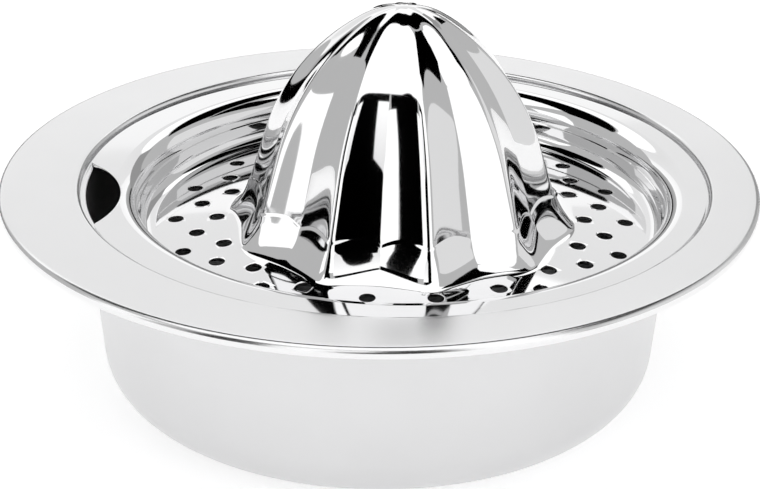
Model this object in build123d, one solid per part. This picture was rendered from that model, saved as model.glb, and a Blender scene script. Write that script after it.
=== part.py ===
from build123d import *

import os
from math import cos, radians, sin, sqrt, tan

# Two-piece citrus juicer of polished stainless sheet: a bowl with a wide pouring flange, and a
# lift-out strainer drawn in one sheet with its ribbed reaming cone.
#
# Units are millimetres. The origin is the centre of the bowl's flat base, +Z is up, and the
# pour notch is on the -X side. The strainer's seat and its cone stand off the bowl's axis,
# away from the notch, which leaves the wide side of the flange for pouring.

# ---- reaming cone ----
CONE_FOOT_RADIUS = 34.9
CONE_HEIGHT = 47.3          # foot to tip
CONE_FLANK_ANGLE = 17.0     # lean of the lower flank
CONE_FLANK_HEIGHT = 18.8    # height of that straight flank
CONE_TIP_RADIUS = 17.8
RIB_COUNT = 10
RIB_BEARING = 280.0         # one rib's bearing, degrees from +X
RIB_LAND = 1.4              # width of a rib's crest
FLUTE_SHARE = 0.905         # flute line's radius as a share of the rib's
FOOT_FLARE = 1.6            # the ribs spread this much where they meet the floor
FOOT_FLARE_HEIGHT = 5.0
TIP_FLAT_RADIUS = 2.0       # where the ribs end at the tip
FLARE_SECTIONS = 5          # steps of the cone's form up the flare
CONE_SECTIONS = 13          # and from there to the tip

# ---- strainer ----
STRAINER_SHEET = 0.7        # sheet thickness
WELL_OFFSET = 4.6           # axis of the well and the cone, this far from the bowl's towards +X
FLOOR_WIDTH = 17.4          # cone foot to the round under the well's wall
FLOOR_RISE = 1.5            # the floor climbs this much from the wall to the cone
WELL_CORNER = 3.0           # round between wall and floor
WELL_DEPTH = 10.2           # rim top to the floor at the wall
WELL_LIP_ROLL = 4.7         # round from the rim down into the well
WELL_CLEARANCE = 1.0        # well to the bowl's mouth, on the +X side
SEAT_GAP = 0.05             # strainer rim above the seat
RIM_CLEARANCE = 0.7         # strainer rim to the seat's wall, all round

# ---- straining holes ----
HOLE_DIAMETER = 3.4
HOLES_PER_RING = 18
RING_COUNT = 3
RING_PITCH = 4.4            # from one ring of holes to the next

# ---- pour notch in the strainer's rim ----
NOTCH_BEARING = 187.5       # degrees from +X, seen from above
NOTCH_DEPTH = 7.9
NOTCH_ROUND = 25.0          # radius of the notch's curve
NOTCH_CORNER = 1.6          # round at its two ends

# ---- seat for the strainer, sunk in the flange ----
SEAT_OFFSET = 3.2           # its axis stands this far towards +X
LEDGE_WIDTH = 1.5           # mouth to the seat's wall, on the -X side, where it is narrowest
SEAT_DEPTH = 1.8            # seat below the flange top
SEAT_CORNER = 0.4           # round at the foot of the seat's wall
SEAT_EDGE_ROLL = 0.9        # round from the flange down into the seat

# ---- bowl ----
BOWL_SHEET = 0.8            # sheet thickness
FLANGE_WIDTH = 13.7         # seat's wall to the flange's outer edge, half way round
FLANGE_HEIGHT = 46.0        # top of the flange above the table
FLANGE_EDGE_DROP = 2.0      # height of the turned-down outer edge
FLANGE_EDGE_BEND = 1.2      # outside bend of that edge
BODY_TAPER = 3.8            # how much further out the wall stands at its mouth than at the table
BASE_CORNER = 10.0          # outside round between base and wall
MOUTH_CHAMFER = 0.5         # broken edge between the seat and the inside of the wall

# ---- derived sizes, from the cone outwards ----
WELL_RADIUS = CONE_FOOT_RADIUS + FLOOR_WIDTH + WELL_CORNER
MOUTH_INNER_RADIUS = WELL_OFFSET + WELL_RADIUS + STRAINER_SHEET + WELL_CLEARANCE
MOUTH_RADIUS = MOUTH_INNER_RADIUS + BOWL_SHEET
BASE_FOOT_RADIUS = MOUTH_RADIUS - BODY_TAPER
SEAT_RADIUS = MOUTH_INNER_RADIUS + LEDGE_WIDTH + SEAT_OFFSET
RIM_RADIUS = SEAT_RADIUS - RIM_CLEARANCE
FLANGE_RADIUS = SEAT_RADIUS + FLANGE_WIDTH
SEAT_Z = FLANGE_HEIGHT - SEAT_DEPTH
RIM_TOP_Z = SEAT_Z + SEAT_GAP + STRAINER_SHEET
FLOOR_EDGE_Z = RIM_TOP_Z - WELL_DEPTH
FLOOR_SLOPE = FLOOR_RISE / (WELL_RADIUS - CONE_FOOT_RADIUS)
FLOOR_CENTRE_Z = FLOOR_EDGE_Z + FLOOR_SLOPE * WELL_RADIUS
CONE_FOOT_Z = FLOOR_EDGE_Z + FLOOR_RISE
MIDDLE_RING_RADIUS = CONE_FOOT_RADIUS + FLOOR_WIDTH / 2

# ---- for building ----
CUT_MARGIN = 5.0            # how far a cutting solid runs past the metal
ROLL_RUN = 1.2              # a rounded corner's arms, in radii of its round


def turned(axis_x, corners):
    """Solid turned about the upright line x = axis_x, from (radius, height, rounding) corners."""
    outline = FilletPolyline(
        *[(radius, height) for radius, height, _ in corners],
        radius=[rounding for _, _, rounding in corners],
        close=True,
    )
    face = Plane.XZ * make_face(outline.edges())
    return Pos(axis_x, 0, 0) * revolve(face, Axis.Z)


def lip_relief(sheet, rise):
    """Cone at 45 degrees that opens the mouth for the strainer's rolled lip, on the +X side."""
    at_seat = WELL_RADIUS + WELL_LIP_ROLL + sheet * sqrt(2)
    depth = 2 * WELL_LIP_ROLL
    return turned(WELL_OFFSET, [
        (0, SEAT_Z - depth, 0),
        (at_seat - depth, SEAT_Z - depth, 0),
        (at_seat + rise, SEAT_Z + rise, 0),
        (0, SEAT_Z + rise, 0),
    ])


def bowl_outside():
    """The bowl's outer form, filled: flange with its turned-down edge, seat and body."""
    under = FLANGE_HEIGHT - BOWL_SHEET
    edge_z = FLANGE_HEIGHT - FLANGE_EDGE_DROP
    flange = turned(0, [
        (0, under, 0),
        (FLANGE_RADIUS - BOWL_SHEET, under, FLANGE_EDGE_BEND - BOWL_SHEET),
        (FLANGE_RADIUS - BOWL_SHEET, edge_z, 0),
        (FLANGE_RADIUS, edge_z, 0),
        (FLANGE_RADIUS, FLANGE_HEIGHT, FLANGE_EDGE_BEND),
        (0, FLANGE_HEIGHT, 0),
    ])
    seat = turned(SEAT_OFFSET, [
        (0, SEAT_Z - BOWL_SHEET, 0),
        (SEAT_RADIUS + BOWL_SHEET, SEAT_Z - BOWL_SHEET, SEAT_CORNER + BOWL_SHEET),
        (SEAT_RADIUS + BOWL_SHEET, FLANGE_HEIGHT, 0),
        (0, FLANGE_HEIGHT, 0),
    ])
    body = turned(0, [
        (0, 0, 0),
        (BASE_FOOT_RADIUS, 0, BASE_CORNER),
        (MOUTH_RADIUS, SEAT_Z, 0),
        (0, SEAT_Z, 0),
    ])
    return flange + seat + body + lip_relief(BOWL_SHEET, 0)


def bowl_inside():
    """The space inside the bowl: the body's hollow and the seat above it."""
    hollow = turned(0, [
        (0, BOWL_SHEET, 0),
        (BASE_FOOT_RADIUS - BOWL_SHEET, BOWL_SHEET, BASE_CORNER - BOWL_SHEET),
        (MOUTH_INNER_RADIUS, SEAT_Z - MOUTH_CHAMFER, 0),
        (MOUTH_INNER_RADIUS + 2 * MOUTH_CHAMFER, SEAT_Z + MOUTH_CHAMFER, 0),
        (0, SEAT_Z + MOUTH_CHAMFER, 0),
    ])
    seat = turned(SEAT_OFFSET, [
        (0, SEAT_Z, 0),
        (SEAT_RADIUS, SEAT_Z, SEAT_CORNER),
        (SEAT_RADIUS, FLANGE_HEIGHT, SEAT_EDGE_ROLL),
        (SEAT_RADIUS + ROLL_RUN * SEAT_EDGE_ROLL, FLANGE_HEIGHT, 0),
        (SEAT_RADIUS + ROLL_RUN * SEAT_EDGE_ROLL, FLANGE_HEIGHT + CUT_MARGIN, 0),
        (0, FLANGE_HEIGHT + CUT_MARGIN, 0),
    ])
    return hollow + seat + lip_relief(0, MOUTH_CHAMFER)


def make_bowl():
    """The stamped bowl, one sheet from the flange's edge to the base."""
    return bowl_outside() - bowl_inside()


def well_space(sheet):
    """Space above the strainer's well, grown by a sheet's thickness for its underside."""
    wall = WELL_RADIUS + sheet
    rim = RIM_TOP_Z - sheet
    past_roll = wall + ROLL_RUN * WELL_LIP_ROLL
    return turned(WELL_OFFSET, [
        (0, FLOOR_CENTRE_Z - sheet, 0),
        (wall, FLOOR_EDGE_Z - sheet, WELL_CORNER + sheet),
        (wall, rim, WELL_LIP_ROLL - sheet),
        (past_roll, rim, 0),
        (past_roll, RIM_TOP_Z + CUT_MARGIN, 0),
        (0, RIM_TOP_Z + CUT_MARGIN, 0),
    ])


def rib_radius(height):
    """Radius of a rib's crest at a height above the cone's foot: flank, shoulder arc, tip arc."""
    lean = radians(CONE_FLANK_ANGLE)
    join_r = CONE_FOOT_RADIUS - CONE_FLANK_HEIGHT * tan(lean)
    tip_z = CONE_HEIGHT - CONE_TIP_RADIUS
    to_join = (join_r, CONE_FLANK_HEIGHT - tip_z)
    along_normal = to_join[0] * cos(lean) + to_join[1] * sin(lean)
    reach = to_join[0] ** 2 + to_join[1] ** 2 - CONE_TIP_RADIUS ** 2
    shoulder = reach / (2 * (along_normal - CONE_TIP_RADIUS))
    centre = (join_r - shoulder * cos(lean), CONE_FLANK_HEIGHT - shoulder * sin(lean))
    share = CONE_TIP_RADIUS / (shoulder - CONE_TIP_RADIUS)
    tip_join_z = tip_z + share * (tip_z - centre[1])
    if height <= CONE_FLANK_HEIGHT:
        return CONE_FOOT_RADIUS - height * tan(lean)
    if height <= tip_join_z:
        return centre[0] + sqrt(shoulder ** 2 - (height - centre[1]) ** 2)
    return sqrt(CONE_TIP_RADIUS ** 2 - (height - tip_z) ** 2)


def flare(height):
    """How far the ribs spread at a height, easing out of the flank into the floor."""
    share = max(0.0, 1 - height / FOOT_FLARE_HEIGHT)
    return FOOT_FLARE * share ** 2


def cone_section(height, inset):
    """Ribbed outline of the cone at a height above its foot, drawn in by an inset."""
    crest = rib_radius(height) + flare(height) - inset
    flute = (rib_radius(height) - inset) * FLUTE_SHARE + 2 * flare(height)
    half_land = min(RIB_LAND / 2, crest / RIB_COUNT)
    corners = []
    for rib in range(RIB_COUNT):
        bearing = RIB_BEARING + rib * 360 / RIB_COUNT
        turn = Rot(0, 0, bearing)
        half_pitch = radians(180 / RIB_COUNT)
        corners.append((turn * Pos(crest, -half_land, 0)).position)
        corners.append((turn * Pos(crest, half_land, 0)).position)
        corners.append((turn * Pos(flute * cos(half_pitch), flute * sin(half_pitch), 0)).position)
    outline = make_face(Polyline(*corners, close=True).edges())
    return Pos(WELL_OFFSET, 0, CONE_FOOT_Z + height) * outline


def cone_heights():
    """Heights of the cone's sections, closer together where it flares and where it closes."""
    tip_z = CONE_HEIGHT - CONE_TIP_RADIUS
    top = tip_z + sqrt(CONE_TIP_RADIUS ** 2 - TIP_FLAT_RADIUS ** 2)
    flared = [FOOT_FLARE_HEIGHT * step / FLARE_SECTIONS for step in range(FLARE_SECTIONS + 1)]
    above = [sin(radians(90 * step / CONE_SECTIONS)) for step in range(1, CONE_SECTIONS + 1)]
    return flared + [FOOT_FLARE_HEIGHT + (top - FOOT_FLARE_HEIGHT) * share for share in above]


def ribbed_cone(inset, drop):
    """Solid cone with its flutes, on a plug that runs down through the floor."""
    sections = [cone_section(height, inset) for height in cone_heights()]
    cone = loft(sections)
    plug = extrude(cone_section(0, inset), amount=-CUT_MARGIN)
    return Pos(0, 0, -drop) * (cone + plug)


def hole_cutters():
    """Upright cutters for the straining holes, each ring turned half a pitch from the last."""
    pitch = 360 / HOLES_PER_RING
    cutters = []
    for ring in range(RING_COUNT):
        ring_radius = MIDDLE_RING_RADIUS + (ring - (RING_COUNT - 1) / 2) * RING_PITCH
        for hole in range(HOLES_PER_RING):
            bearing = radians((hole + 0.5 * (ring % 2)) * pitch)
            spot = (WELL_OFFSET + ring_radius * cos(bearing), ring_radius * sin(bearing))
            cutters.append(Pos(*spot, FLOOR_CENTRE_Z) * Cylinder(HOLE_DIAMETER / 2, 2 * CUT_MARGIN))
    return cutters


def notch_cutter():
    """Upright cutter for the D-shaped pour notch."""
    reach = RIM_RADIUS - NOTCH_DEPTH + NOTCH_ROUND
    placed = Pos(SEAT_OFFSET, 0, RIM_TOP_Z) * Rot(0, 0, NOTCH_BEARING) * Pos(reach, 0, 0)
    return placed * Cylinder(NOTCH_ROUND, 2 * CUT_MARGIN)


def make_strainer():
    """The drawn strainer: rim, well, perforated floor and hollow cone in one sheet."""
    low = FLOOR_EDGE_Z - CUT_MARGIN
    block = turned(SEAT_OFFSET, [
        (0, low, 0), (RIM_RADIUS, low, 0), (RIM_RADIUS, RIM_TOP_Z, 0), (0, RIM_TOP_Z, 0),
    ])
    upper = block - well_space(0) + ribbed_cone(0, 0)
    under_z = RIM_TOP_Z - STRAINER_SHEET
    under = turned(SEAT_OFFSET, [
        (0, low - CUT_MARGIN, 0),
        (RIM_RADIUS + CUT_MARGIN, low - CUT_MARGIN, 0),
        (RIM_RADIUS + CUT_MARGIN, under_z, 0),
        (0, under_z, 0),
    ])
    lean = radians(CONE_FLANK_ANGLE)
    inset = STRAINER_SHEET * (1 - sin(lean)) / cos(lean)
    lower = under - well_space(STRAINER_SHEET) + ribbed_cone(inset, STRAINER_SHEET)
    sheet = upper - lower
    sheet = sheet - hole_cutters()
    sheet = sheet - notch_cutter()
    rim_ends = [
        edge for edge in sheet.edges().filter_by(Axis.Z)
        if edge.length < 2 * STRAINER_SHEET and edge.center().Z > RIM_TOP_Z - STRAINER_SHEET
    ]
    return fillet(rim_ends, NOTCH_CORNER)


def main():
    """Build both pieces and write one STEP file for each."""
    os.makedirs("parts", exist_ok=True)
    pieces = {"bowl": make_bowl(), "strainer": make_strainer()}
    for name, piece in pieces.items():
        print(name, "volume", round(piece.volume, 1), "solids", len(piece.solids()))
        export_step(piece, f"parts/{name}.step")


main()
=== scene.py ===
"""Looks of a two-piece stainless citrus juicer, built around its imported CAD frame.

Each piece is one sheet of steel. It is grown ring by ring in millimetres, given its thickness and trimmed
where it has a cut-out. Its edges are broken, and it is brought to metres when it is finished. Origin and axes
are the frame's: the centre of the bowl's flat base, +Z up, the pour notch on the -X side.
"""

import logging
import math
from collections.abc import Callable, Sequence
from dataclasses import dataclass
from enum import Enum

import bmesh
import bpy
from mathutils import Matrix, Vector


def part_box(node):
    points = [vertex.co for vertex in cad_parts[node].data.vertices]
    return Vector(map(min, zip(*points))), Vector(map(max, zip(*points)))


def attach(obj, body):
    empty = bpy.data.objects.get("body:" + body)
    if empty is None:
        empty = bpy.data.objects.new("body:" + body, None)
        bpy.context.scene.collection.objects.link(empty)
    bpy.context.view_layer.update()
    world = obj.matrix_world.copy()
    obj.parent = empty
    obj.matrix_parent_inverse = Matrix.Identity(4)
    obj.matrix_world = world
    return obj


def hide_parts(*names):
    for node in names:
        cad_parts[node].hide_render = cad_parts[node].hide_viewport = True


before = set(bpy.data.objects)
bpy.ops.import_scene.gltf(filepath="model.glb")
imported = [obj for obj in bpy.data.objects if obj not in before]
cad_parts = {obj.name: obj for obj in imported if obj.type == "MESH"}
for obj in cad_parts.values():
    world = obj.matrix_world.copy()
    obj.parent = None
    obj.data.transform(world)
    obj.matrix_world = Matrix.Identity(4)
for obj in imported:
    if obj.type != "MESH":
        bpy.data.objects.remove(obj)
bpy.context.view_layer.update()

logging.basicConfig(level=logging.INFO, format="%(message)s")
log = logging.getLogger("juicer")

MM = 0.001
SHARP_EDGE = 60.0
FLAT_FACE_WEIGHT = 60
MATT = 0.9
Ring = Callable[[float], Vector]
Number = float | int


# ---------------------------------------------------------------- outlines


@dataclass(frozen=True)
class Corner:
    """A corner of a sheet's outline, in millimetres."""

    radius: float
    height: float
    round: float = 0.0


def rounded(corners: Sequence[Corner], steps: int) -> list[tuple[float, float]]:
    """Runs an outline through corners, with each round as an arc.

    Args:
        corners: The outline's corners, in order.
        steps: Segments in each arc.

    Returns:
        The outline's (radius, height) points.
    """
    points = [(corners[0].radius, corners[0].height)]
    for before, corner, after in zip(corners, corners[1:], corners[2:]):
        tip = Vector((corner.radius, corner.height))
        back = (Vector((before.radius, before.height)) - tip).normalized()
        on = (Vector((after.radius, after.height)) - tip).normalized()
        if not corner.round:
            points.append(tuple(tip))
            continue
        half = back.angle(on) / 2
        centre = tip + (back + on).normalized() * corner.round / math.sin(half)
        reach = corner.round / math.tan(half)
        start, end = tip + back * reach - centre, tip + on * reach - centre
        for step in range(steps + 1):
            points.append(tuple(centre + corner.round * start.slerp(end, step / steps)))
    points.append((corners[-1].radius, corners[-1].height))
    return points


def circle(centre: float, radius: float, height: float) -> Ring:
    """Returns a level ring about the upright line x = centre."""
    return lambda bearing: Vector((centre + radius * math.cos(bearing), radius * math.sin(bearing), height))


def ease(share: float) -> float:
    """Returns a share from 0 to 1 with a soft start and a soft end."""
    return share * share * (3 - 2 * share)


def between(first: Ring, second: Ring, share: float) -> Ring:
    """Returns the ring that lies a share of the way from the first to the second."""
    return lambda bearing: first(bearing).lerp(second(bearing), share)


# ---------------------------------------------------------------- sheet metal


class Sheet:
    """One sheet of metal, grown outwards ring by ring from a pole."""

    def __init__(self, columns: int, pole: Vector, first: Ring) -> None:
        """Starts the sheet at its pole.

        Args:
            columns: Points in each ring.
            pole: The sheet's middle point.
            first: The innermost ring.
        """
        self.bm = bmesh.new()
        self.columns = columns
        made = bmesh.ops.create_circle(self.bm, cap_ends=True, cap_tris=True, segments=columns, radius=1.0)
        rim = [v for v in made["verts"] if v.co.length > 0.5]
        hub = next(v for v in made["verts"] if v.co.length < 0.5)
        hub.co = pole
        step = math.tau / columns
        self.column = {v: round(math.atan2(v.co.y, v.co.x) / step) % columns for v in rim}
        self.edges = [e for e in self.bm.edges if all(v in self.column for v in e.verts)]
        self.rows: list[list[bmesh.types.BMVert]] = []
        self._place(rim, first)

    def _place(self, verts: list[bmesh.types.BMVert], ring: Ring) -> None:
        """Puts a row of points on a ring and keeps it in column order."""
        for v in verts:
            v.co = ring(self.column[v] * math.tau / self.columns)
        self.rows.append(sorted(verts, key=self.column.__getitem__))

    def grow(self, *rings: Ring) -> "Sheet":
        """Extrudes the sheet's edge to each ring in turn."""
        for ring in rings:
            grown = bmesh.ops.extrude_edge_only(self.bm, edges=self.edges)["geom"]
            verts = [g for g in grown if isinstance(g, bmesh.types.BMVert)]
            fresh = set(verts)
            for v in verts:
                others = (e.other_vert(v) for e in v.link_edges)
                self.column[v] = next(self.column[o] for o in others if o in self.column and o not in fresh)
            self.edges = [e for e in {e for v in verts for e in v.link_edges} if set(e.verts) <= fresh]
            self._place(verts, ring)
        return self

    def punch(self, row: int, column: int, reach: int, radius: float) -> None:
        """Opens a round hole in a square cell of the grid.

        Args:
            row: The row through the hole's middle.
            column: The column through the hole's middle.
            reach: Rows and columns from the middle to the cell's sides.
            radius: The hole's radius.
        """
        columns = [(column + k) % self.columns for k in range(-reach, reach + 1)]
        cell = {self.rows[row + k][c] for k in range(-reach, reach + 1) for c in columns}
        middle = self.rows[row][column].co.copy()
        across = (self.rows[row + 1][column].co - self.rows[row - 1][column].co).normalized()
        along = (self.rows[row][columns[reach + 1]].co - self.rows[row][columns[reach - 1]].co).normalized()
        faces = [f for f in {f for v in cell for f in v.link_faces} if set(f.verts) <= cell]
        around = {e for f in faces for e in f.edges}
        border = [e for e in around if sum(f in faces for f in e.link_faces) == 1]
        bmesh.ops.delete(self.bm, geom=faces, context="FACES_KEEP_BOUNDARY")
        grown = bmesh.ops.extrude_edge_only(self.bm, edges=border)["geom"]
        for v in (g for g in grown if isinstance(g, bmesh.types.BMVert)):
            arm = v.co - middle
            turn = math.atan2(arm.dot(across), arm.dot(along))
            v.co = middle + radius * (math.cos(turn) * along + math.sin(turn) * across)

    def thicken(self, thickness: float) -> None:
        """Gives the sheet its thickness, downwards from the face that was grown."""
        bmesh.ops.recalc_face_normals(self.bm, faces=self.bm.faces)
        if self.rows[0][0].link_faces[0].normal.z < 0:
            bmesh.ops.reverse_faces(self.bm, faces=self.bm.faces)
        bmesh.ops.solidify(self.bm, geom=self.bm.faces, thickness=thickness)
        bmesh.ops.recalc_face_normals(self.bm, faces=self.bm.faces)


def break_edges(bm: bmesh.types.BMesh, sharper_than: float, width: float) -> None:
    """Rounds every edge sharper than an angle.

    Args:
        bm: The closed mesh.
        sharper_than: Edges that turn more than this many degrees are rounded.
        width: How far the round reaches from the edge.
    """
    limit = math.radians(sharper_than)
    sharp = [e for e in bm.edges if len(e.link_faces) == 2 and e.calc_face_angle() > limit]
    bmesh.ops.bevel(bm, geom=sharp, offset=width, offset_type="OFFSET", segments=2, profile=0.5,
                    affect="EDGES", material=-1, clamp_overlap=True)


def finish_piece(bm: bmesh.types.BMesh, name: str) -> bpy.types.Object:
    """Brings a mesh to metres and makes it a smooth-shaded object.

    Args:
        bm: The finished mesh, in millimetres. It is freed.
        name: The piece's name.

    Returns:
        The new object, at the origin.
    """
    bmesh.ops.scale(bm, vec=(MM, MM, MM), verts=bm.verts)
    mesh = bpy.data.meshes.new(name)
    bm.to_mesh(mesh)
    bm.free()
    mesh.shade_smooth()
    piece = bpy.data.objects.new(name, mesh)
    bpy.context.scene.collection.objects.link(piece)
    weights = piece.modifiers.new("face weights", "WEIGHTED_NORMAL")
    weights.weight = FLAT_FACE_WEIGHT
    return piece


def cut_away(bm: bmesh.types.BMesh, cutter: bmesh.types.BMesh) -> bmesh.types.BMesh:
    """Takes one closed mesh out of another.

    Args:
        bm: The metal. It is freed.
        cutter: What is taken out of it. It is freed.

    Returns:
        The metal that is left.
    """
    objects = []
    for part, name in ((bm, "metal"), (cutter, "cutter")):
        mesh = bpy.data.meshes.new(name)
        part.to_mesh(mesh)
        part.free()
        objects.append(bpy.data.objects.new(name, mesh))
        bpy.context.scene.collection.objects.link(objects[-1])
    trim = objects[0].modifiers.new("trim", "BOOLEAN")
    trim.operation = "DIFFERENCE"
    trim.solver = "EXACT"
    trim.object = objects[1]
    left = bmesh.new()
    left.from_object(objects[0], bpy.context.evaluated_depsgraph_get())
    for item in objects:
        bpy.data.meshes.remove(item.data)
    return left


# ---------------------------------------------------------------- shader maths


@dataclass(frozen=True)
class Wire:
    """A shader socket that can be used in arithmetic, which adds Math nodes."""

    recipe: "Recipe"
    socket: bpy.types.NodeSocket

    def maths(self, operation: str, *values: "Wire | Number") -> "Wire":
        """Returns a Math node's result on the given values."""
        return self.recipe.add("ShaderNodeMath", {"operation": operation}, dict(enumerate(values)))

    def __add__(self, other: "Wire | Number") -> "Wire":
        """Returns self + other."""
        return self.maths("ADD", self, other)

    def __sub__(self, other: "Wire | Number") -> "Wire":
        """Returns self - other."""
        return self.maths("SUBTRACT", self, other)

    def __rsub__(self, other: "Wire | Number") -> "Wire":
        """Returns other - self."""
        return self.maths("SUBTRACT", other, self)

    def __mul__(self, other: "Wire | Number") -> "Wire":
        """Returns self * other."""
        return self.maths("MULTIPLY", self, other)

    def __pow__(self, other: "Wire | Number") -> "Wire":
        """Returns self to the power of other."""
        return self.maths("POWER", self, other)

    __radd__ = __add__
    __rmul__ = __mul__


class Recipe:
    """The node tree of one material."""

    def __init__(self, name: str) -> None:
        """Starts an empty material of that name."""
        self.material = bpy.data.materials.new(name)
        self.material.use_nodes = True
        self.tree = self.material.node_tree
        self.tree.nodes.clear()

    def add(self, kind: str, settings: dict, inputs: dict, output: int | str = 0) -> Wire | None:
        """Adds a node.

        Args:
            kind: The node's type.
            settings: Its own settings, which are made first.
            inputs: Values or wires of its sockets, by name or number.
            output: The socket that is returned.

        Returns:
            The node's output, or nothing where it has none.
        """
        node = self.tree.nodes.new(kind)
        for key, value in settings.items():
            setattr(node, key, value)
        for key, value in inputs.items():
            if isinstance(value, Wire):
                self.tree.links.new(value.socket, node.inputs[key])
            else:
                node.inputs[key].default_value = value
        return Wire(self, node.outputs[output]) if node.outputs else None

    def place(self) -> tuple[Wire, Wire, Wire]:
        """Returns the object's own x, y and z, in metres."""
        at = self.add("ShaderNodeTexCoord", {}, {}, "Object")
        return tuple(self.add("ShaderNodeSeparateXYZ", {}, {0: at}, axis) for axis in range(3))

    def grain(self, x: "Wire | Number", y: "Wire | Number", z: "Wire | Number", detail: float) -> Wire:
        """Returns noise from 0 to 1 at a point, in cells of one unit."""
        spot = self.add("ShaderNodeCombineXYZ", {}, {0: x, 1: y, 2: z})
        return self.add("ShaderNodeTexNoise", {}, {"Vector": spot, "Scale": 1.0, "Detail": detail})


class Lay(Enum):
    """Which way the marks of polishing run."""

    ROUND = "round the axis"
    UPRIGHT = "up the wall"
    NONE = "no clear way"


@dataclass(frozen=True)
class Steel:
    """A finish of stainless steel.

    Attributes:
        name: The finish's name.
        tone: Its reflected colour.
        roughness: Its mean roughness.
        cloud: How much wider marks of handling vary the roughness.
        lay: Which way its polishing marks run.
        mark_depth: Depth of those marks, in millimetres.
        marks: How many marks cross a millimetre.
        ripple: Depth of the pressing's slow unevenness, in millimetres.
        axis: The x of the upright line that the marks run about, in metres.
        smudges: How many marks of handling cross a metre.
        ripples: How many waves of the pressing cross a metre.
        round_marks: How many marks round the axis follow each other in a radian.
        upright_marks: How many upright marks follow each other in a metre.
        wall_radius: Rough radius of a wall with upright marks, in metres.
        line_share: How much of the cloud the polishing marks add.
        stain: How much the handling darkens the tone.
    """

    name: str
    tone: tuple[float, float, float]
    roughness: float
    cloud: float
    lay: Lay
    mark_depth: float
    marks: float
    ripple: float
    axis: float
    smudges: float = 55.0
    ripples: float = 90.0
    round_marks: float = 1.5
    upright_marks: float = 40.0
    wall_radius: float = 0.06
    line_share: float = 0.6
    stain: float = 0.05

    def material(self) -> bpy.types.Material:
        """Returns the finish as a material."""
        recipe = Recipe(self.name)
        x, y, z = recipe.place()
        x = x - self.axis
        out = (x * x + y * y) ** 0.5
        bearing = x.maths("ARCTAN2", y, x)
        per_metre = self.marks / MM
        if self.lay is Lay.ROUND:
            lines = recipe.grain(out * per_metre, bearing * self.round_marks, z * per_metre, 2.0)
        elif self.lay is Lay.UPRIGHT:
            lines = recipe.grain(bearing * (self.wall_radius * per_metre), z * self.upright_marks, 0.0, 2.0)
        else:
            lines = recipe.grain(x * per_metre, y * per_metre, z * per_metre, 2.0)
        smudge = recipe.grain(x * self.smudges, y * self.smudges, z * self.smudges, 3.0)
        slow = recipe.grain(x * self.ripples, y * self.ripples, z * self.ripples, 0.0)
        line_cloud = self.cloud * self.line_share
        roughness = self.roughness + (smudge - 0.5) * self.cloud + (lines - 0.5) * line_cloud
        shade = 1 - (smudge - 0.5) * self.stain
        colour = recipe.add("ShaderNodeVectorMath", {"operation": "SCALE"},
                            {0: self.tone, "Scale": shade})
        relief = lines * (self.mark_depth * MM) + slow * (self.ripple * MM)
        normal = recipe.add("ShaderNodeBump", {}, {"Height": relief, "Strength": 1.0, "Distance": 1.0})
        shader = recipe.add("ShaderNodeBsdfPrincipled", {}, {
            "Base Color": colour, "Metallic": 1.0, "Roughness": roughness, "Normal": normal,
        })
        recipe.add("ShaderNodeOutputMaterial", {}, {"Surface": shader})
        return recipe.material


# ---------------------------------------------------------------- the bowl


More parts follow.
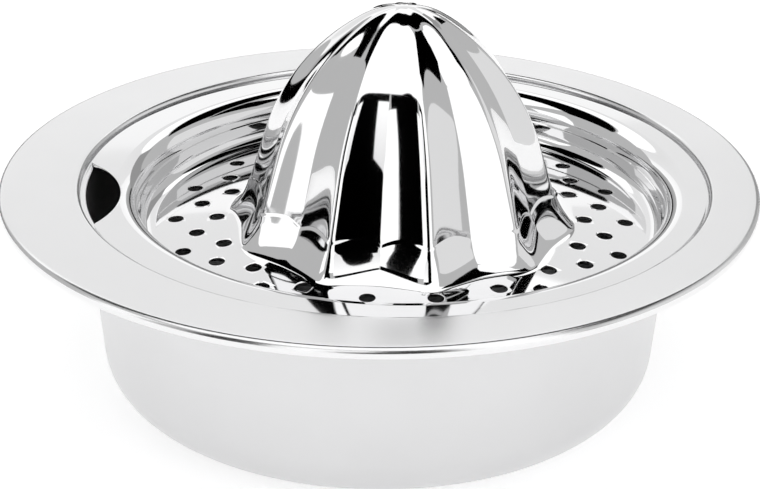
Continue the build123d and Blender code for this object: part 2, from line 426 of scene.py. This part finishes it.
@dataclass
class Bowl:
    """The stamped bowl: base, wall, seat for the strainer, and the wide flange.

    Sizes are in millimetres. The overall ones come from the frame.
    """

    strainer: "Strainer"
    columns: int = 360
    sheet: float = 0.8
    body_taper: float = 3.8
    base_corner: float = 10.0
    ledge_width: float = 1.5
    seat_depth: float = 1.8
    seat_corner: float = 0.4
    seat_edge_roll: float = 0.9
    rim_clearance: float = 0.7
    mouth_roll_narrow: float = 0.6
    mouth_roll_wide: float = 3.4
    edge_drop: float = 2.0
    edge_bend: float = 1.2
    edge_break: float = 0.1
    pole_ring: float = 0.5
    mouth_straight: float = 12.0
    mouth_steps: int = 7
    finish_margin: float = 0.05
    wall_slack: float = 1.02

    def __post_init__(self) -> None:
        """Takes the overall sizes from the frame and works out the rest."""
        low, high = (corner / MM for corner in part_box("bowl"))
        self.flange_radius = (high.y - low.y) / 2
        self.top = high.z
        self.seat_z = self.top - self.seat_depth
        self.seat_axis = self.strainer.seat_axis
        self.seat_radius = self.strainer.rim_radius + self.rim_clearance
        self.mouth = self.seat_radius - self.seat_axis - self.ledge_width

    def mouth_ring(self, turn: float) -> Ring:
        """Returns a ring of the mouth's roll, which widens towards the strainer's side.

        Args:
            turn: From the wall at 0 to the seat at a quarter turn, in radians.
        """
        def place(bearing: float) -> Vector:
            """Puts one point of the ring."""
            wide = self.mouth_roll_wide - self.mouth_roll_narrow
            roll = self.mouth_roll_narrow + wide * (1 + math.cos(bearing)) / 2
            radius = self.mouth + roll * (1 - math.cos(turn))
            return Vector((radius * math.cos(bearing), radius * math.sin(bearing),
                           self.seat_z - roll * (1 - math.sin(turn))))
        return place

    def build(self) -> bmesh.types.BMesh:
        """Returns the bowl's closed mesh, in millimetres."""
        foot = self.mouth - self.body_taper
        lean = self.body_taper / self.seat_z
        body = rounded([Corner(self.pole_ring, self.sheet),
                        Corner(foot, self.sheet, self.base_corner - self.sheet),
                        Corner(self.mouth - lean * self.mouth_straight, self.seat_z - self.mouth_straight)],
                       steps=12)
        sheet = Sheet(self.columns, Vector((0, 0, self.sheet)), circle(0, *body[0]))
        sheet.grow(*(circle(0, foot * share, self.sheet) for share in (0.3, 0.6)))
        sheet.grow(*(circle(0, *point) for point in body[1:]))
        start = math.atan(lean)
        sweep = math.pi / 2 - start
        turns = [start + sweep * step / self.mouth_steps for step in range(self.mouth_steps + 1)]
        sheet.grow(*(self.mouth_ring(turn) for turn in turns))
        seat = rounded([Corner(self.seat_radius - 1.2 * self.seat_corner, self.seat_z),
                        Corner(self.seat_radius, self.seat_z, self.seat_corner),
                        Corner(self.seat_radius, self.top, self.seat_edge_roll),
                        Corner(self.seat_radius + 2 * self.seat_edge_roll, self.top)], steps=6)
        sheet.grow(between(self.mouth_ring(math.pi / 2), circle(self.seat_axis, *seat[0]), 0.5))
        sheet.grow(*(circle(self.seat_axis, *point) for point in seat))
        edge = rounded([Corner(self.flange_radius - 2 * self.edge_bend, self.top),
                        Corner(self.flange_radius, self.top, self.edge_bend),
                        Corner(self.flange_radius, self.top - self.edge_drop)], steps=8)
        inner, outer = circle(self.seat_axis, *seat[-1]), circle(0, *edge[0])
        sheet.grow(*(between(inner, outer, share) for share in (0.25, 0.5, 0.75)))
        sheet.grow(*(circle(0, *point) for point in edge))
        sheet.thicken(self.sheet)
        break_edges(sheet.bm, SHARP_EDGE, self.edge_break)
        return sheet.bm

    def dress(self, piece: bpy.types.Object, flange: Steel, body: Steel) -> None:
        """Polishes the flange and the seat, and leaves the body satin, in a darker tone that is painted
        shade.
        """
        piece.data.materials.append(flange.material())
        piece.data.materials.append(body.material())
        below = (self.seat_z - self.sheet - self.finish_margin) * MM
        wall = (self.mouth + self.sheet / 2) * MM
        for face in piece.data.polygons:
            out = math.hypot(face.center.x, face.center.y)
            # Faces of the body below the seat get the satin steel, whose darker tone than the flange's is
            # painted shade.
            face.material_index = int(face.center.z < below and out < wall * self.wall_slack)


# ---------------------------------------------------------------- the strainer


@dataclass
class Strainer:
    """The drawn strainer: rim with its pour notch, well, straining floor and ribbed cone.

    Sizes are in millimetres, and heights on the cone start at its foot. The rim's size and place come from
    the frame.
    """

    columns: int = 360
    sheet: float = 0.7
    well_axis: float = 4.6
    well_radius: float = 55.3
    well_depth: float = 10.2
    well_corner: float = 3.0
    lip_roll: float = 4.7
    tier: float = 0.3
    floor_rise: float = 1.5
    seat_top: float = 44.95
    cone_foot: float = 34.9
    cone_height: float = 47.3
    flank_lean: float = math.radians(17.0)
    flank_height: float = 18.8
    tip_round: float = 17.8
    ribs: int = 10
    rib_bearing: int = 28
    crest_soft: float = 1.0
    valley_soft: float = 0.15
    flute_share: float = 0.905
    facet_bow: float = 0.035
    flare: float = 1.6
    skirt_height: float = 7.6
    skirt_wave: float = 1.1
    skirt_step: float = 0.2
    hole_diameter: float = 3.4
    holes_in_ring: int = 18
    hole_rings: int = 3
    ring_pitch: float = 4.4
    middle_ring: float = 43.6
    hole_reach: int = 3
    notch_bearing: float = math.radians(187.5)
    notch_depth: float = 7.9
    notch_round: float = 25.0
    notch_corner: float = 1.6
    edge_break: float = 0.14
    cutter_height: float = 12.0
    gather: float = 0.65

    def __post_init__(self) -> None:
        """Takes the rim from the frame and works out the cone's arcs."""
        low, high = (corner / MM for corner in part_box("strainer"))
        self.rim_radius = (high.y - low.y) / 2
        self.seat_axis = high.x - self.rim_radius
        self.floor_edge = self.seat_top - self.well_depth
        self.foot_z = self.floor_edge + self.floor_rise
        self.slope = self.floor_rise / (self.well_radius - self.cone_foot)
        lean, tip_z = self.flank_lean, self.cone_height - self.tip_round
        join = Vector((self.cone_foot - self.flank_height * math.tan(lean), self.flank_height))
        arm = join - Vector((0, tip_z))
        along = arm.x * math.cos(lean) + arm.y * math.sin(lean)
        self.shoulder = (arm.length_squared - self.tip_round ** 2) / (2 * (along - self.tip_round))
        self.shoulder_centre = join - self.shoulder * Vector((math.cos(lean), math.sin(lean)))
        self.tip_join = math.atan2(-self.shoulder_centre.x, tip_z - self.shoulder_centre.y)

    def floor_z(self, radius: float) -> float:
        """Returns the floor's height at a distance from the well's axis."""
        return self.floor_edge + self.slope * (self.well_radius - radius)

    def crest(self, height: float) -> float:
        """Returns the radius of a rib's crest at a height above the cone's foot."""
        tip_z = self.cone_height - self.tip_round
        tip_join_z = tip_z + self.tip_round * math.cos(self.tip_join)
        if height <= self.flank_height:
            return self.cone_foot - height * math.tan(self.flank_lean)
        if height <= tip_join_z:
            rise = height - self.shoulder_centre.y
            return self.shoulder_centre.x + math.sqrt(self.shoulder ** 2 - rise ** 2)
        return math.sqrt(max(self.tip_round ** 2 - (height - tip_z) ** 2, 0.0))

    def cone_heights(self) -> list[float]:
        """Returns the heights of the cone's rings, from the tip down to the foot."""
        tip_z = self.cone_height - self.tip_round
        over, flank, edge = 16, 12, 6
        heights = [tip_z + self.tip_round * math.cos(self.tip_join * step / over) for step in range(1, over)]
        top, turn = math.pi / 2 - self.tip_join, self.flank_lean
        for step in range(over + 1):
            at = top + (turn - top) * step / over
            heights.append(self.shoulder_centre.y + self.shoulder * math.sin(at))
        skirt = self.skirt_height + 2 * self.skirt_step
        drop = skirt - self.flank_height
        heights += [self.flank_height + drop * step / flank for step in range(1, flank + 1)]
        heights += [skirt - 4 * self.skirt_step * step / edge for step in range(1, edge + 1)]
        closer_to_the_foot = (0.85, 0.7, 0.55, 0.4, 0.27, 0.16, 0.08, 0.03, 0.0)
        heights += [heights[-1] * share for share in closer_to_the_foot]
        return heights

    def local(self, bearing: float) -> tuple[float, float]:
        """Gathers the columns towards the crests and valleys.

        Args:
            bearing: A column's even bearing.

        Returns:
            The column's bearing on the sheet, and how far it lies from the nearest crest, as a share of half
            a pitch.
        """
        half = math.pi / self.ribs
        from_crest = (bearing - math.radians(self.rib_bearing)) / half
        turn = round(from_crest / 2) * 2
        side = from_crest - turn
        share = (1 - self.gather) * abs(side) + self.gather * ease(abs(side))
        return math.radians(self.rib_bearing) + (turn + math.copysign(share, side)) * half, share

    def skirt_line(self, share: float) -> float:
        """Returns how far the skirt's edge stands off its mean height. It dips at crests and valleys."""
        return self.skirt_wave * (abs(math.sin(math.pi * share)) - 0.5 - 0.35 * share ** 3)

    def cone_ring(self, height: float) -> Ring:
        """Returns the cone's ribbed outline at a height above its foot.

        Args:
            height: The ring's mean height. Near the skirt's edge the ring follows that edge up and down.
        """
        half = math.pi / self.ribs
        reach = self.skirt_height
        pull = ease(height / reach if height < reach else max(0.0, 1 - (height - reach) / (1.2 * reach)))

        def place(bearing: float) -> Vector:
            """Puts one point of the ring."""
            at, share = self.local(bearing)
            up = height + pull * self.skirt_line(share)
            below = max(0.0, 1 - height / reach)
            past = min(max((reach + 2 * self.skirt_step - height) / (4 * self.skirt_step), 0.0), 1.0)
            spread = self.flare * below ** 2.5 + self.skirt_step * ease(past)
            rib = self.crest(up)
            soft = min((self.crest_soft + 1.5 * below) / max(rib, 0.1), half / 3)
            sharp = min((self.valley_soft + 2.5 * below) / max(rib, 0.1), half / 3)
            tip = Vector((rib * (1 + 0.5 * soft) + spread, 0))
            flute = rib * self.flute_share + (1 + 0.8 * below) * spread
            valley = Vector((flute * math.cos(half), flute * math.sin(half)))
            facet = valley - tip
            bow = 4 * self.facet_bow * facet.length
            angle = math.hypot(share * half, soft)
            angle = half - math.hypot(max(half - angle, 0.0), sharp)
            across = math.cos(angle) * facet.y - math.sin(angle) * facet.x
            along = tip.x * math.sin(angle) / across
            radius = tip.x * facet.y / across - bow * along * (1 - along)
            return Vector((self.well_axis + radius * math.cos(at), radius * math.sin(at), self.foot_z + up))
        return place

    def notch_cutter(self) -> bmesh.types.BMesh:
        """Returns the upright cutter for the D-shaped notch, with its two ends rounded."""
        reach = self.rim_radius - self.notch_depth + self.notch_round
        inner = self.rim_radius - self.notch_corner
        outer = self.notch_round + self.notch_corner
        along = (inner ** 2 - outer ** 2 + reach ** 2) / (2 * reach)
        corner = Vector((along, math.sqrt(inner ** 2 - along ** 2)))
        middle = Vector((reach, 0))
        on_notch = (corner - middle).normalized()
        on_rim = corner.normalized()
        steps, around, outside = 8, 24, 1.1
        upper = [corner * (self.rim_radius * outside / inner)]
        upper += [corner + self.notch_corner * on_rim.slerp(-on_notch, step / steps) for step in range(steps)]
        sweep = math.pi - math.atan2(on_notch.y, on_notch.x)
        turns = [sweep * (1 - step / around) for step in range(around + 1)]
        upper += [middle + self.notch_round * Vector((-math.cos(turn), math.sin(turn))) for turn in turns]
        lower = [Vector((p.x, -p.y)) for p in reversed(upper[:-1])]
        bm = bmesh.new()
        under = Matrix.Translation((self.seat_axis, 0, self.seat_top - self.cutter_height / 2))
        place = under @ Matrix.Rotation(self.notch_bearing, 4, "Z")
        verts = [bm.verts.new(place @ Vector((p.x, p.y, 0))) for p in upper + lower]
        face = bm.faces.new(verts)
        risen = bmesh.ops.extrude_face_region(bm, geom=[face])["geom"]
        top = [g for g in risen if isinstance(g, bmesh.types.BMVert)]
        bmesh.ops.translate(bm, vec=(0, 0, self.cutter_height), verts=top)
        bmesh.ops.recalc_face_normals(bm, faces=bm.faces)
        return bm

    def build(self) -> bmesh.types.BMesh:
        """Returns the strainer's closed mesh, in millimetres."""
        heights = self.cone_heights()
        tip = Vector((self.well_axis, 0, self.foot_z + self.cone_height))
        sheet = Sheet(self.columns, tip, self.cone_ring(heights[0]))
        sheet.grow(*(self.cone_ring(height) for height in heights[1:]))
        foot_row = len(sheet.rows) - 1
        rows_in_ring = 2 * self.hole_reach
        pitch = self.ring_pitch / rows_in_ring
        first = self.middle_ring - self.ring_pitch * self.hole_rings / 2
        rows = rows_in_ring * self.hole_rings
        radii = [first + pitch * row for row in range(rows + 1)]
        sheet.grow(*(circle(self.well_axis, radius, self.floor_z(radius)) for radius in radii))
        tier_z = self.seat_top - self.lip_roll - 2 * self.tier
        outline = rounded([Corner(radii[-1], self.floor_z(radii[-1])),
                           Corner(self.well_radius, self.floor_edge, self.well_corner),
                           Corner(self.well_radius, tier_z, self.tier / 2),
                           Corner(self.well_radius + self.tier, tier_z + self.tier, self.tier / 2),
                           Corner(self.well_radius + self.tier, self.seat_top, self.lip_roll - self.tier),
                           Corner(self.well_radius + 1.02 * self.lip_roll, self.seat_top)], steps=9)
        sheet.grow(*(circle(self.well_axis, *point) for point in outline[1:]))
        lip = circle(self.well_axis, *outline[-1])
        rim = circle(self.seat_axis, self.rim_radius, self.seat_top)
        sheet.grow(*(between(lip, rim, share) for share in (0.33, 0.67, 1.0)))
        soften = [v for row in sheet.rows[foot_row - 3:foot_row + 1] for v in row]
        for _ in range(3):
            bmesh.ops.smooth_vert(sheet.bm, verts=soften, factor=0.5, use_axis_x=True, use_axis_y=True,
                                  use_axis_z=True)
        for ring in range(self.hole_rings):
            for hole in range(self.holes_in_ring):
                column = round((hole + 0.5 * (ring % 2)) * self.columns / self.holes_in_ring)
                row = foot_row + 1 + rows_in_ring * ring + self.hole_reach
                sheet.punch(row, column % self.columns, self.hole_reach, self.hole_diameter / 2)
        sheet.thicken(self.sheet)
        metal = cut_away(sheet.bm, self.notch_cutter())
        break_edges(metal, SHARP_EDGE, self.edge_break)
        return metal


# ---------------------------------------------------------------- studio


@dataclass(frozen=True)
class Card:
    """A flat card round the set, out of the camera's sight, that shows in the steel.

    Attributes:
        name: The card's name.
        azimuth: Where it stands, in degrees from +X.
        elevation: How high its middle is, in degrees.
        width: Its width, in degrees.
        height: Its height, in degrees.
        glow: How bright it is at its foot.
        glow_above: How bright it is at its top, if that differs.
        nearer: How far it stands in front of the others, in metres.
    """

    name: str
    azimuth: float
    elevation: float
    width: float
    height: float
    glow: float
    glow_above: float | None = None
    nearer: float = 0.0


@dataclass
class Studio:
    """Pale floor, soft light, the cards that give the steel its reflections, and the camera."""

    surroundings: float = 0.55
    floor_glow: float = 0.45
    floor_size: float = 60.0
    floor_tone: float = 0.93
    tent_radius: float = 2.2
    distance: float = 1.2
    camera_at: tuple[float, float, float] = (0.00024, -0.44317, 0.23558)
    looks_down: float = math.radians(24.92)
    roll: float = math.radians(0.48)
    lens: float = 107.86
    sensor: float = 36.0
    cards: tuple[Card, ...] = (
        Card("left_strip", -165, 14, 17, 42, 1.3),
        Card("left_flag", -131, 18, 21, 70, 0.0),
        Card("leaf_strip", -110.5, 20, 19, 50, 1.3),
        Card("camera_flag", -86, 18, 29, 74, 0.0),
        Card("flame_strip", -98, 32, 13, 36, 0.9, 1.3, nearer=0.02),
        Card("right_softbox", -51, 20, 30, 60, 1.3),
        Card("right_wall", 4, 12, 58, 44, 0.85),
        Card("right_flag", 8, 54, 26, 16, 0.0),
        Card("back_right_wall", 65, 16, 14, 30, 0.35),
        Card("back_footing", 100, 3.5, 90, 8, 0.0),
        Card("back_low", 100, 11.5, 60, 9, 0.35, 0.55),
        Card("back_middle", 100, 19.5, 60, 9.5, 1.2, 1.1),
        Card("back_upper", 100, 28.5, 60, 12, 0.95, 0.9),
        Card("back_high", 100, 41, 66, 14, 1.3),
        Card("back_flag", 100, 61, 80, 24, 0.0),
        Card("overhead", -100, 80, 76, 52, 1.3),
    )

    def plain(self, name: str, tone: float, glow: float = 0.0,
              fade: tuple[float, float, float] | None = None) -> bpy.types.Material:
        """Makes a matt material of one grey tone, which may glow.

        Args:
            name: The material's name.
            tone: Its grey.
            glow: How bright it is, or would be at its brightest.
            fade: The heights that the glow fades between, in metres, and its share at the lower one.

        Returns:
            The material.
        """
        recipe = Recipe(name)
        light = (1, 1, 1, 1)
        if fade:
            low, high, share = fade
            rise = (recipe.place()[2] - low) * (1 / (high - low))
            light = share + rise * (1 - share)
        shader = recipe.add("ShaderNodeBsdfPrincipled", {}, {
            "Base Color": (tone, tone, tone, 1), "Roughness": MATT, "Specular IOR Level": 0.0,
            "Emission Color": light, "Emission Strength": glow,
        })
        recipe.add("ShaderNodeOutputMaterial", {}, {"Surface": shader})
        return recipe.material

    def panel(self, name: str, size: tuple[float, float], place: Matrix,
              material: bpy.types.Material) -> bpy.types.Object:
        """Makes a flat panel that isn't part of the object.

        Args:
            name: The panel's name.
            size: Its width and height.
            place: Where it stands. It faces along its own Z.
            material: Its material.

        Returns:
            The panel.
        """
        bm = bmesh.new()
        bmesh.ops.create_grid(bm, x_segments=1, y_segments=1, size=0.5)
        bmesh.ops.scale(bm, vec=(size[0], size[1], 1), verts=bm.verts)
        bmesh.ops.transform(bm, matrix=place, verts=bm.verts)
        mesh = bpy.data.meshes.new(name)
        bm.to_mesh(mesh)
        bm.free()
        mesh.materials.append(material)
        panel = bpy.data.objects.new(name, mesh)
        bpy.context.scene.collection.objects.link(panel)
        return panel

    def stand_up(self, card: Card) -> None:
        """Stands a card in its place round the set, facing the object."""
        turn, lift = math.radians(card.azimuth), math.radians(card.elevation)
        away = Vector((math.cos(lift) * math.cos(turn), math.cos(lift) * math.sin(turn), math.sin(lift)))
        spans = (math.radians(card.width), math.radians(card.height))
        distance = self.distance - card.nearer
        size = tuple(2 * distance * math.tan(span / 2) for span in spans)
        place = Matrix.Translation(distance * away) @ (-away).to_track_quat("Z", "Y").to_matrix().to_4x4()
        above = card.glow if card.glow_above is None else card.glow_above
        reach = size[1] / 2 * math.cos(lift)
        middle = distance * away.z
        fade = (middle - reach, middle + reach, card.glow / above) if above != card.glow else None
        panel = self.panel(card.name, size, place, self.plain(card.name, 0.0, above, fade))
        panel.visible_camera = False

    def tent(self) -> None:
        """Hangs an even tent round the set, out of the camera's sight, which lights the set."""
        bm = bmesh.new()
        bmesh.ops.create_uvsphere(bm, u_segments=48, v_segments=24, radius=self.tent_radius)
        mesh = bpy.data.meshes.new("tent")
        bm.to_mesh(mesh)
        bm.free()
        mesh.materials.append(self.plain("tent cloth", 0.0, self.surroundings))
        tent = bpy.data.objects.new("tent", mesh)
        bpy.context.scene.collection.objects.link(tent)
        tent.visible_camera = False

    def build(self) -> None:
        """Sets up the floor, the light, the cards and the camera."""
        world = bpy.data.worlds.new("studio")
        world.use_nodes = True
        world.node_tree.nodes["Background"].inputs["Color"].default_value = (1, 1, 1, 1)
        world.node_tree.nodes["Background"].inputs["Strength"].default_value = 1.0
        bpy.context.scene.world = world
        bpy.context.scene.view_settings.view_transform = "Standard"
        paint = self.plain("floor paint", self.floor_tone, self.floor_glow)
        self.panel("floor", (self.floor_size, self.floor_size), Matrix.Identity(4), paint)
        self.tent()
        for card in self.cards:
            self.stand_up(card)
        camera = bpy.data.cameras.new("camera")
        camera.lens, camera.sensor_width = self.lens, self.sensor
        holder = bpy.data.objects.new("camera", camera)
        tilt = Matrix.Rotation(math.pi / 2 - self.looks_down, 4, "X") @ Matrix.Rotation(self.roll, 4, "Z")
        holder.matrix_world = Matrix.Translation(self.camera_at) @ tilt
        bpy.context.scene.collection.objects.link(holder)
        bpy.context.scene.camera = holder


# ---------------------------------------------------------------- assembly


def add_piece(bm: bmesh.types.BMesh, name: str, body: str, node: str) -> bpy.types.Object:
    """Finishes a piece and joins it to the frame.

    Args:
        bm: The piece's mesh, in millimetres.
        name: The piece's name.
        body: The frame's body that it rides on.
        node: The CAD node that it stands for.

    Returns:
        The piece.
    """
    piece = finish_piece(bm, name)
    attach(piece, body)
    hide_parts(node)
    log.info("%s: %d faces", name, len(piece.data.polygons))
    return piece


def main() -> None:
    """Builds the juicer and its studio."""
    strainer = Strainer()
    bowl = Bowl(strainer)
    polished = Steel("polished flange", (0.80, 0.80, 0.805), 0.20, 0.04, Lay.ROUND, 0.0002, 3.0, 0.002, 0.0)
    # The body is the same steel as the flange, with a rougher satin finish and upright marks; its darker tone
    # is painted shade.
    satin_and_painted_shade = Steel("satin body", (0.68, 0.68, 0.685), 0.30, 0.05, Lay.UPRIGHT, 0.0005, 3.0, 0.001, 0.0)
    mirror = Steel("mirror strainer", (0.82, 0.82, 0.825), 0.045, 0.02, Lay.NONE, 0.0, 1.0, 0.004,
                   strainer.well_axis * MM)
    shell = add_piece(bowl.build(), "bowl_shell", "bowl", "bowl")
    bowl.dress(shell, polished, satin_and_painted_shade)
    insert = add_piece(strainer.build(), "strainer_shell", "strainer", "strainer")
    insert.data.materials.append(mirror.material())
    Studio().build()


if __name__ == "__main__":
    main()
